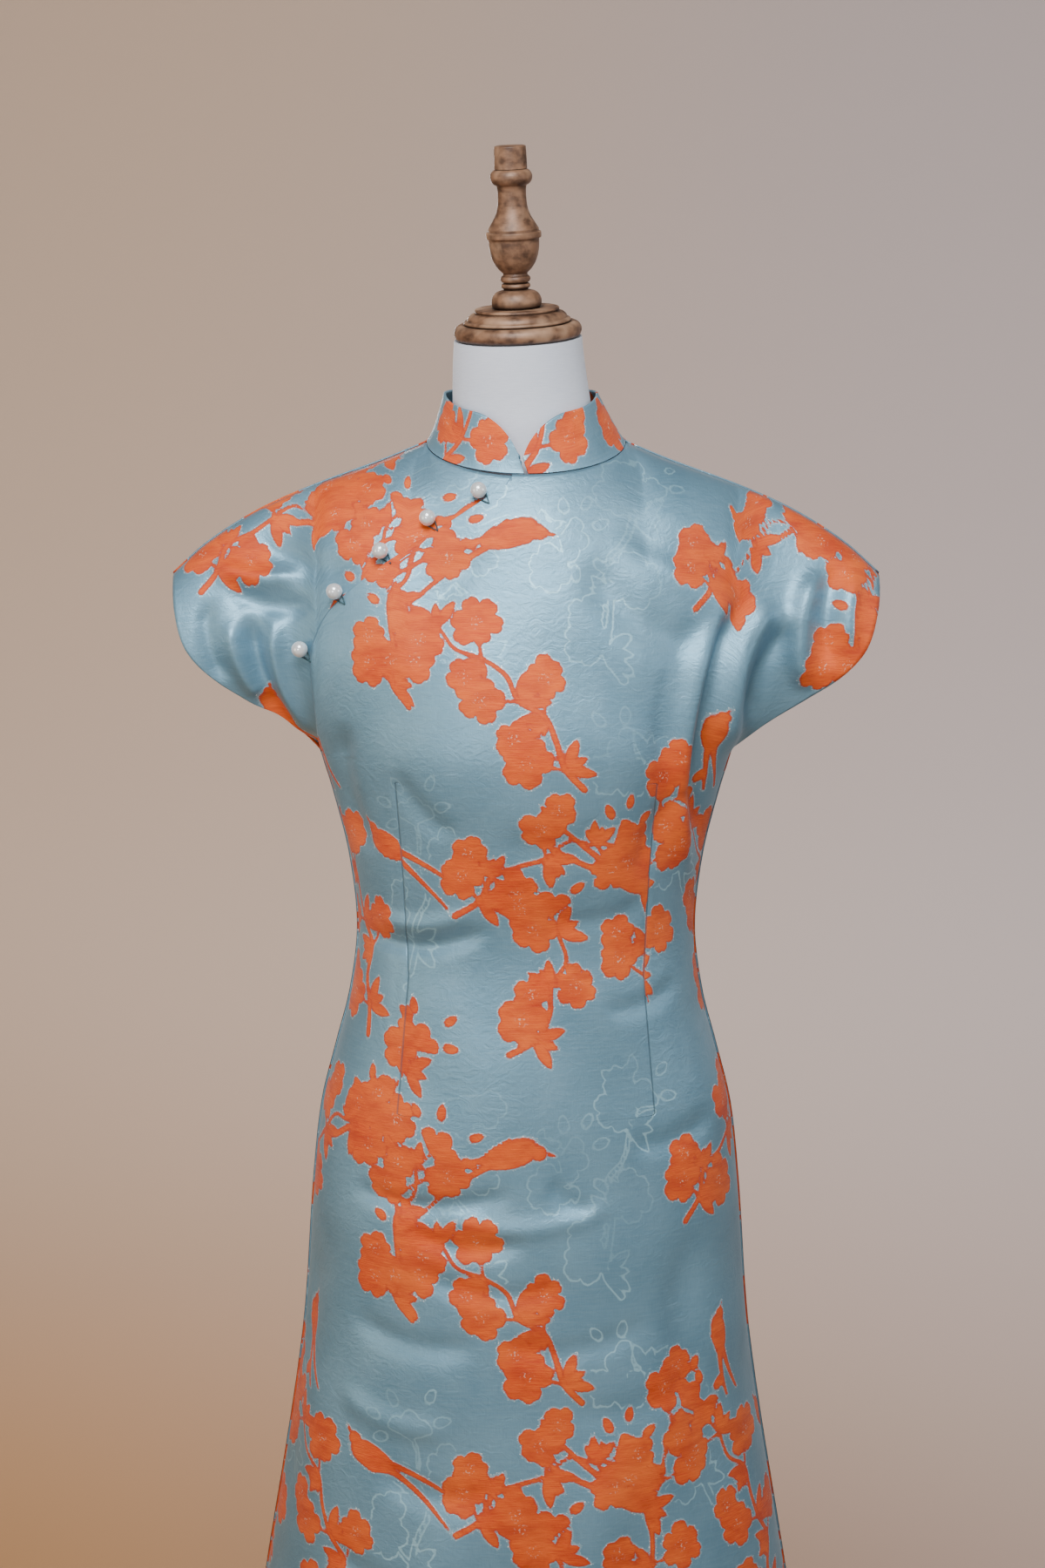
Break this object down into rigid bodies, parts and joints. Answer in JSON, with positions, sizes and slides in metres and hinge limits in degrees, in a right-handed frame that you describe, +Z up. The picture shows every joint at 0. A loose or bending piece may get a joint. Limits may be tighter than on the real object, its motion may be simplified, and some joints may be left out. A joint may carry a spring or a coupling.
{
  "type": "cheongsam dress on dress form",
  "caption": "Cap-sleeved cheongsam with stand collar, diagonal pearl-buttoned closing and A-line skirt, on a linen dress form with turned wood finial and round base",
  "frame": {"origin": "on the floor, under the middle of the round base", "axes": "+Z up, the dress faces -Y, +X is the wearer's left"},
  "size_m": [0.536, 0.38, 1.5776],
  "materials": {
    "brocade": "satin jacquard, orange figures on steel blue",
    "pearl": "pearlescent",
    "linen": "fine plain weave",
    "bronzed_wood": "turned, antique bronze stain"
  },
  "bodies": {
    "root": {"front": "brocade", "right_front": "brocade", "back": "brocade", "collar": "brocade", "button_1": "pearl", "button_2": "pearl", "button_3": "pearl", "button_4": "pearl", "button_5": "pearl", "form_body": "linen", "neck_cap": "bronzed_wood", "finial": "bronzed_wood", "pole": "bronzed_wood", "base": "bronzed_wood"}
  },
  "joints": []
}
